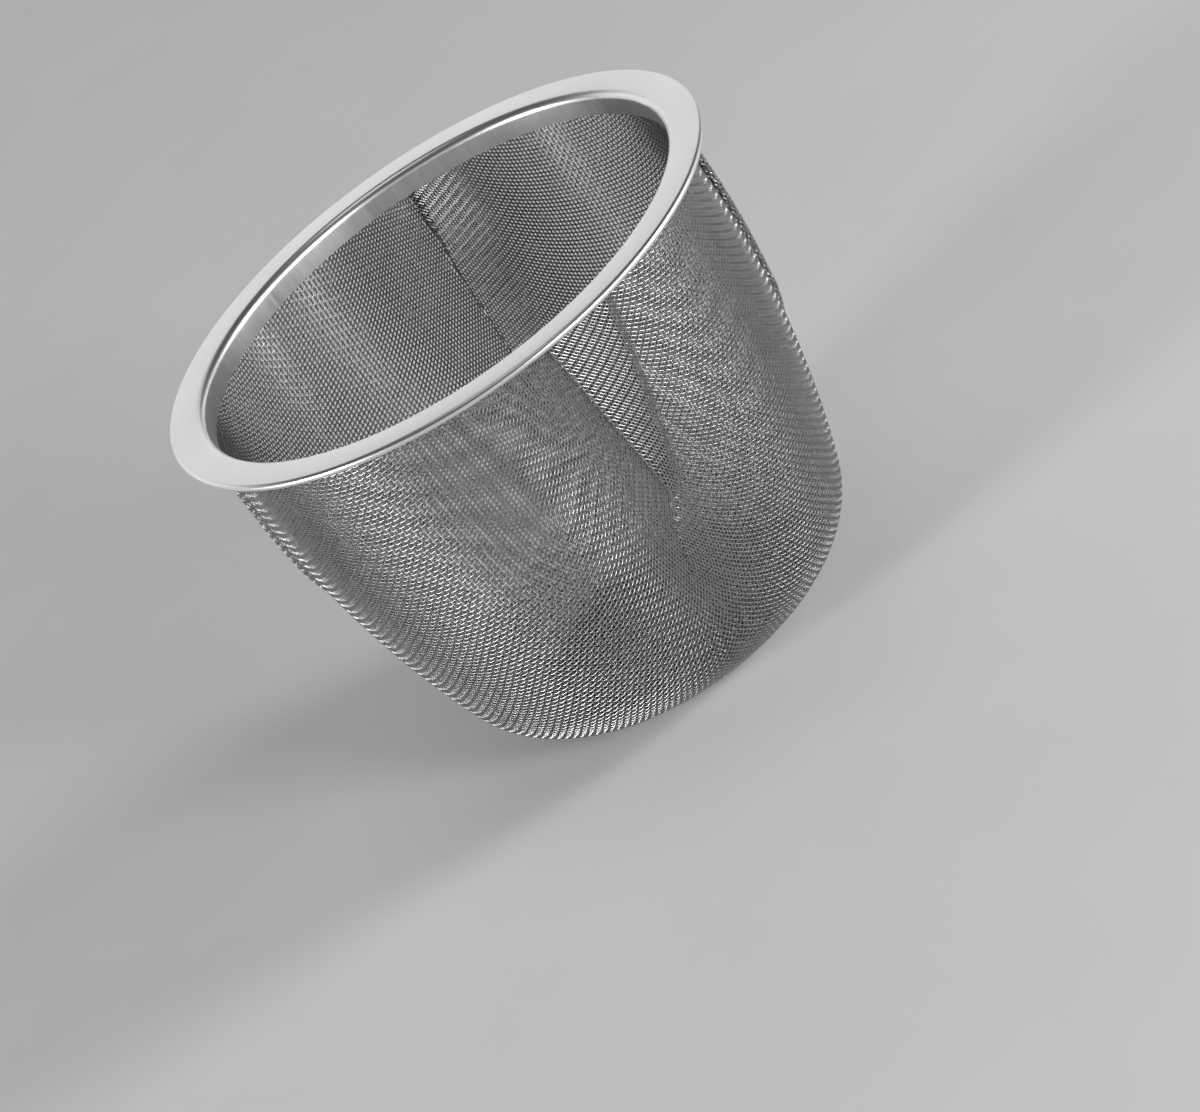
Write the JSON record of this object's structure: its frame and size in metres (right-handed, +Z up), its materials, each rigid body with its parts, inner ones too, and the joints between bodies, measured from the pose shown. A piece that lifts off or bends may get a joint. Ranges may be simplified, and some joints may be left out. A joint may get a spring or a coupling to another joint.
{
  "type": "teapot infuser",
  "caption": "Drop-in teapot infuser basket: a deep cup of drawn woven wire cloth with folded pleats, welded inside a hemmed flat steel rim.",
  "frame": {"origin": "centre of the flat base's underside, on the basket's axis", "axes": "+Z up along the basket's axis and out of the mouth, -Y towards the front pleat's side, +X towards the right pleat"},
  "size_m": [0.08, 0.08, 0.0605],
  "materials": {
    "rim_steel": "fine satin stainless sheet, a little brighter on the rolled edges",
    "wire_cloth": "bright drawn stainless wire, plain weave, 0.64 mm pitch, 0.2 mm wire",
    "weld_steel": "dull resistance-weld nugget"
  },
  "bodies": {
    "root": {"rim_flange": "rim_steel", "mesh_cup": "wire_cloth", "weld_spots": "weld_steel", "pleat_front": "wire_cloth", "pleat_right": "wire_cloth", "pleat_rear": "wire_cloth", "pleat_left": "wire_cloth"}
  },
  "joints": []
}
